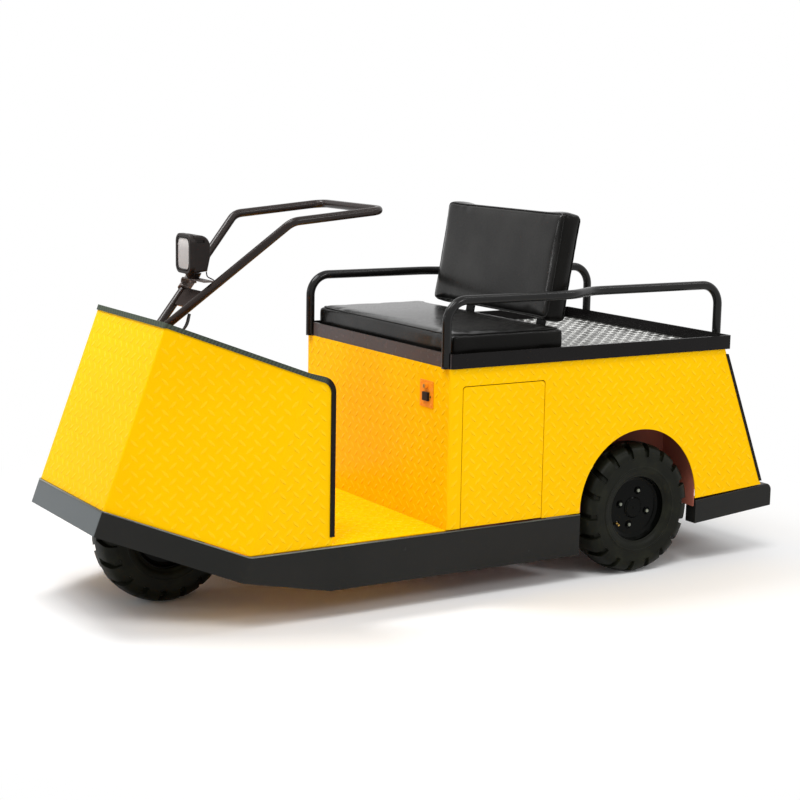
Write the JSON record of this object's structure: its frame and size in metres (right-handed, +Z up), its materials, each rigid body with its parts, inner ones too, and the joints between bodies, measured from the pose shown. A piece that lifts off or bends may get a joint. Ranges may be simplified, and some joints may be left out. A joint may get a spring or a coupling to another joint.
{
  "type": "electric platform cart",
  "caption": "Three-wheel electric platform cart with a tread-plate nose cowl, tiller steering, a driver seat on a railed cargo deck and side access doors.",
  "frame": {"origin": "on the floor, at the centre of the footprint box", "axes": "+X forward towards the nose, +Y to the driver's left, +Z up"},
  "size_m": [2.313, 0.873, 1.1584],
  "materials": {
    "yellow_paint": "glossy tread plate paint",
    "black_paint": "satin black paint",
    "oxide_paint": "matt red oxide primer",
    "rim_paint": "satin black paint",
    "orange_paint": "satin orange paint",
    "edge_rubber": "matt",
    "bare_plate": "bare tread plate",
    "vinyl": "grained vinyl",
    "tyre_rubber": "matt",
    "lamp_plastic": "moulded",
    "lens_glass": "clear",
    "bright_steel": "machined",
    "battery_case": "moulded",
    "cable_jacket": "smooth"
  },
  "bodies": {
    "chassis": {"backrest_pad": "vinyl", "backrest_support": "black_paint", "battery_block": "battery_case", "chassis_frame": "oxide_paint", "cowl_edge_trim": "edge_rubber", "cowl_panel": "yellow_paint", "deck_frame": "black_paint", "deck_plate": "bare_plate", "drive_motor": "black_paint", "floor_pan": "yellow_paint", "front_skirt": "black_paint", "front_wheel_house": "oxide_paint", "key_switch": "bright_steel", "leaf_spring_left": "black_paint", "leaf_spring_right": "black_paint", "pedestal_front_panel": "yellow_paint", "rear_axle": "black_paint", "rear_bumper": "black_paint", "rear_edge_trim_left": "edge_rubber", "rear_edge_trim_right": "edge_rubber", "rear_panel": "yellow_paint", "rear_wheel_house_left": "oxide_paint", "rear_wheel_house_right": "oxide_paint", "rocker_switch": "lamp_plastic", "seat_base": "bare_plate", "seat_cushion": "vinyl", "side_panel_left": "yellow_paint", "side_panel_right": "yellow_paint", "side_rail_left": "black_paint", "side_rail_right": "black_paint", "steering_head": "black_paint", "switch_plate": "orange_paint"},
    "steering": {"steering_fork": "black_paint", "front_axle": "bright_steel", "handlebar": "black_paint", "lamp_bracket": "black_paint", "lamp_housing": "lamp_plastic", "lamp_lens": "lens_glass", "lamp_lead": "cable_jacket", "control_cables": "cable_jacket"},
    "front_wheel": {"front_rim": "rim_paint", "front_tyre": "tyre_rubber"},
    "rear_wheel_left": {"rear_rim_left": "rim_paint", "rear_tyre_left": "tyre_rubber"},
    "rear_wheel_right": {"rear_rim_right": "rim_paint", "rear_tyre_right": "tyre_rubber"},
    "door_left": {"access_door_left": "yellow_paint"},
    "door_right": {"access_door_right": "yellow_paint"}
  },
  "joints": [
    {"name": "steering_turn", "type": "hinge", "parent": "chassis", "child": "steering", "pos_m": [0.847, 0, 0.55], "axis": [0, 0, 1], "range_deg": [-40, 40]},
    {"name": "front_wheel_spin", "type": "hinge", "parent": "steering", "child": "front_wheel", "pos_m": [0.847, 0, 0.2075], "axis": [0, 1, 0], "continuous": true},
    {"name": "rear_left_wheel_spin", "type": "hinge", "parent": "chassis", "child": "rear_wheel_left", "pos_m": [-0.5944, 0.373, 0.2075], "axis": [0, 1, 0], "continuous": true},
    {"name": "rear_right_wheel_spin", "type": "hinge", "parent": "chassis", "child": "rear_wheel_right", "pos_m": [-0.5944, -0.373, 0.2075], "axis": [0, 1, 0], "continuous": true},
    {"name": "left_door_hinge", "type": "hinge", "parent": "chassis", "child": "door_left", "pos_m": [0.093, 0.418, 0.43], "axis": [0, 0, 1], "range_deg": [-95, 0]},
    {"name": "right_door_hinge", "type": "hinge", "parent": "chassis", "child": "door_right", "pos_m": [0.093, -0.418, 0.43], "axis": [0, 0, 1], "range_deg": [0, 95]}
  ]
}
